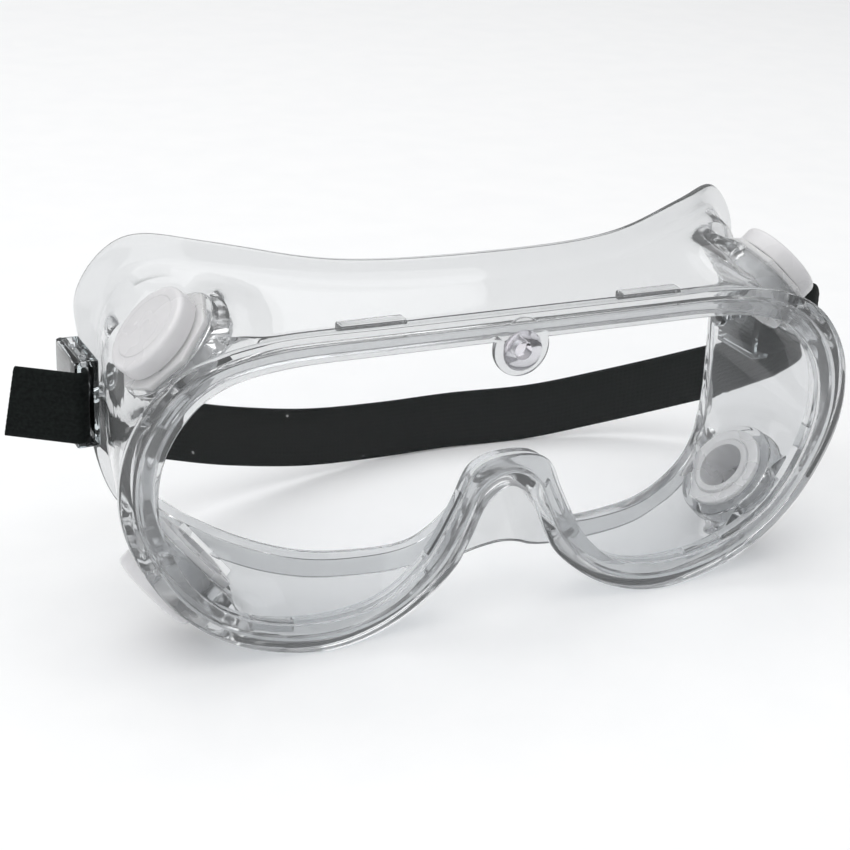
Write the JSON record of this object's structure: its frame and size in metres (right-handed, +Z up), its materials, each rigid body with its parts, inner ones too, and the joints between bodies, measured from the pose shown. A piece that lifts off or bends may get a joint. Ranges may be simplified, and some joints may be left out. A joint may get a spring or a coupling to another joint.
{
  "type": "safety goggles",
  "caption": "Indirect-vent safety goggles: clear soft frame with face flange, flat clear lens, capped vents and an elastic head strap on swivelling clips.",
  "frame": {"origin": "on the lens's front face, in the plane of symmetry, level with the clips' pins", "axes": "+X to the viewer's right from the front, +Y from the lens to the wearer's face, +Z up"},
  "size_m": [0.1983, 0.0905, 0.0796],
  "materials": {
    "soft_frame": "clear flexible vinyl, gloss",
    "clear_lens": "clear polycarbonate, polished",
    "clear_stud": "clear moulded, gloss",
    "vent_plastic": "milky translucent moulded",
    "clear_clip": "clear hard moulded",
    "elastic_strap": "ribbed elastic webbing, matt"
  },
  "bodies": {
    "frame": {"frame": "soft_frame", "lens": "clear_lens", "lens_stud": "clear_stud", "vent_seat_ul": "vent_plastic", "vent_seat_ur": "vent_plastic", "vent_seat_ll": "vent_plastic", "vent_seat_lr": "vent_plastic", "vent_ring_ul": "vent_plastic", "vent_ring_ur": "vent_plastic", "vent_ring_ll": "vent_plastic", "vent_ring_lr": "vent_plastic", "clip_pin_left": "clear_clip", "clip_pin_right": "clear_clip", "strap_band": "elastic_strap"},
    "cap_upper_left": {"vent_cap_ul": "vent_plastic"},
    "cap_upper_right": {"vent_cap_ur": "vent_plastic"},
    "cap_lower_left": {"vent_cap_ll": "vent_plastic"},
    "cap_lower_right": {"vent_cap_lr": "vent_plastic"},
    "clip_left": {"strap_clip_left": "clear_clip", "strap_end_left": "elastic_strap"},
    "clip_right": {"strap_clip_right": "clear_clip", "strap_end_right": "elastic_strap"}
  },
  "joints": [
    {"name": "cap_upper_left_pull", "type": "slide", "parent": "frame", "child": "cap_upper_left", "axis": [-0.7431, 0, 0.6691], "range_m": [0, 0.006]},
    {"name": "cap_upper_right_pull", "type": "slide", "parent": "frame", "child": "cap_upper_right", "axis": [0.7431, 0, 0.6691], "range_m": [0, 0.006]},
    {"name": "cap_lower_left_pull", "type": "slide", "parent": "frame", "child": "cap_lower_left", "axis": [-0.7431, 0, -0.6691], "range_m": [0, 0.006]},
    {"name": "cap_lower_right_pull", "type": "slide", "parent": "frame", "child": "cap_lower_right", "axis": [0.7431, 0, -0.6691], "range_m": [0, 0.006]},
    {"name": "clip_left_swivel", "type": "hinge", "parent": "frame", "child": "clip_left", "pos_m": [-0.0783, 0.0358, 0], "axis": [1, 0, 0], "range_deg": [-10, 10]},
    {"name": "clip_right_swivel", "type": "hinge", "parent": "frame", "child": "clip_right", "pos_m": [0.0783, 0.0358, 0], "axis": [1, 0, 0], "range_deg": [-10, 10]}
  ]
}
